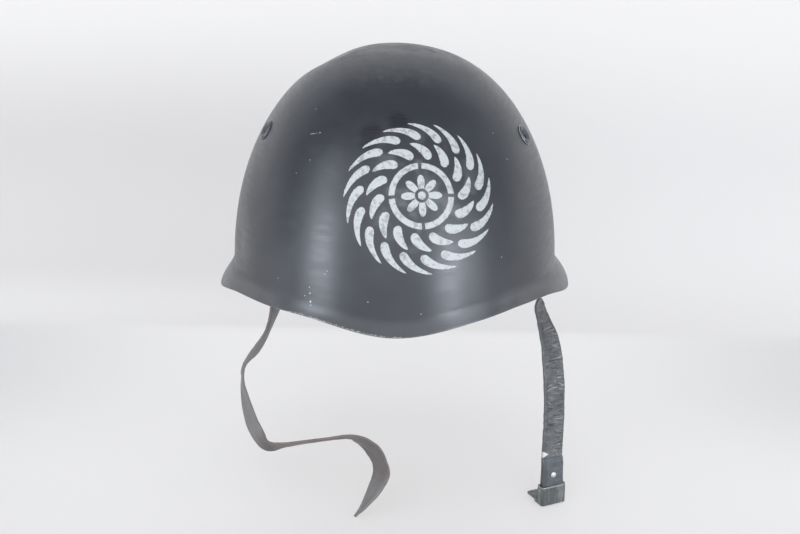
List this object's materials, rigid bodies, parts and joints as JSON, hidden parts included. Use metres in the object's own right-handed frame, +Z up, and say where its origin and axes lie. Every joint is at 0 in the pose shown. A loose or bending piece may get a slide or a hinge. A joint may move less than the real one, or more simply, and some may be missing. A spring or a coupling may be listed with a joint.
{
  "type": "parade helmet",
  "caption": "Pressed steel helmet with a flared rim, hollow vent rivets, riveted leather liner on a steel band, hinged strap loops, split chin strap and clamping lever buckle",
  "frame": {"origin": "Middle of the shell's mouth, on the plane of the lowest points of the side rim: the middle of the opening the head goes into", "axes": "+X to the wearer's left, -Y to the front, +Z up along the wearer's head"},
  "size_m": [0.2472, 0.2755, 0.3266],
  "materials": {
    "shell_paint": "satin, chipped at the rim",
    "grey_paint": "matt, worn",
    "grey_steel": "dull",
    "buckle_paint": "matt, worn to bare steel on the edges",
    "liner_leather": "smooth, aged",
    "short_strap_leather": "creased, worn grey",
    "long_strap_leather": "supple, aged",
    "felt": "felted wool",
    "lace": "braided cord"
  },
  "bodies": {
    "helmet": {"shell": "shell_paint", "vent_rivet_left": "shell_paint", "vent_rivet_right": "shell_paint", "vent_rivet_rear": "shell_paint", "vent_washer_left": "grey_steel", "vent_washer_right": "grey_steel", "vent_washer_rear": "grey_steel", "hanger_left": "grey_paint", "hanger_right": "grey_paint", "hanger_rear": "grey_paint", "hanger_rivets": "grey_steel", "liner_band": "grey_paint", "felt_strip": "felt", "liner_leather": "liner_leather", "liner_rivets": "grey_steel", "crown_lace": "lace", "bracket_left": "grey_paint", "bracket_right": "grey_paint", "bracket_rivets": "grey_steel"},
    "left_loop": {"loop_left": "grey_steel"},
    "left_strap": {"short_strap": "short_strap_leather", "short_strap_rivet": "grey_steel", "buckle_body": "buckle_paint", "buckle_bar": "grey_steel", "buckle_rivet": "grey_steel", "lever_pin": "grey_steel"},
    "lever": {"buckle_lever": "buckle_paint"},
    "right_loop": {"loop_right": "grey_steel"},
    "right_strap": {"long_strap": "long_strap_leather", "long_strap_rivet": "grey_steel"}
  },
  "joints": [
    {"name": "left_loop_hinge", "type": "hinge", "parent": "helmet", "child": "left_loop", "pos_m": [0.08847, 0, 0.025], "axis": [0, -1, 0], "range_deg": [-25, 8]},
    {"name": "left_strap_hinge", "type": "hinge", "parent": "left_loop", "child": "left_strap", "pos_m": [0.0965, 0, 0.01353], "axis": [0, -1, 0], "range_deg": [-8, 8]},
    {"name": "lever_hinge", "type": "hinge", "parent": "left_strap", "child": "lever", "pos_m": [0.11209, -0.01798, -0.1574], "axis": [0.866, 0.5, 0], "range_deg": [0, 88]},
    {"name": "right_loop_hinge", "type": "hinge", "parent": "helmet", "child": "right_loop", "pos_m": [-0.08847, 0, 0.025], "axis": [0, 1, 0], "range_deg": [-20, 35]},
    {"name": "right_strap_hinge", "type": "hinge", "parent": "right_loop", "child": "right_strap", "pos_m": [-0.08847, 0, 0.011], "axis": [0, 1, 0], "range_deg": [-8, 8]}
  ]
}
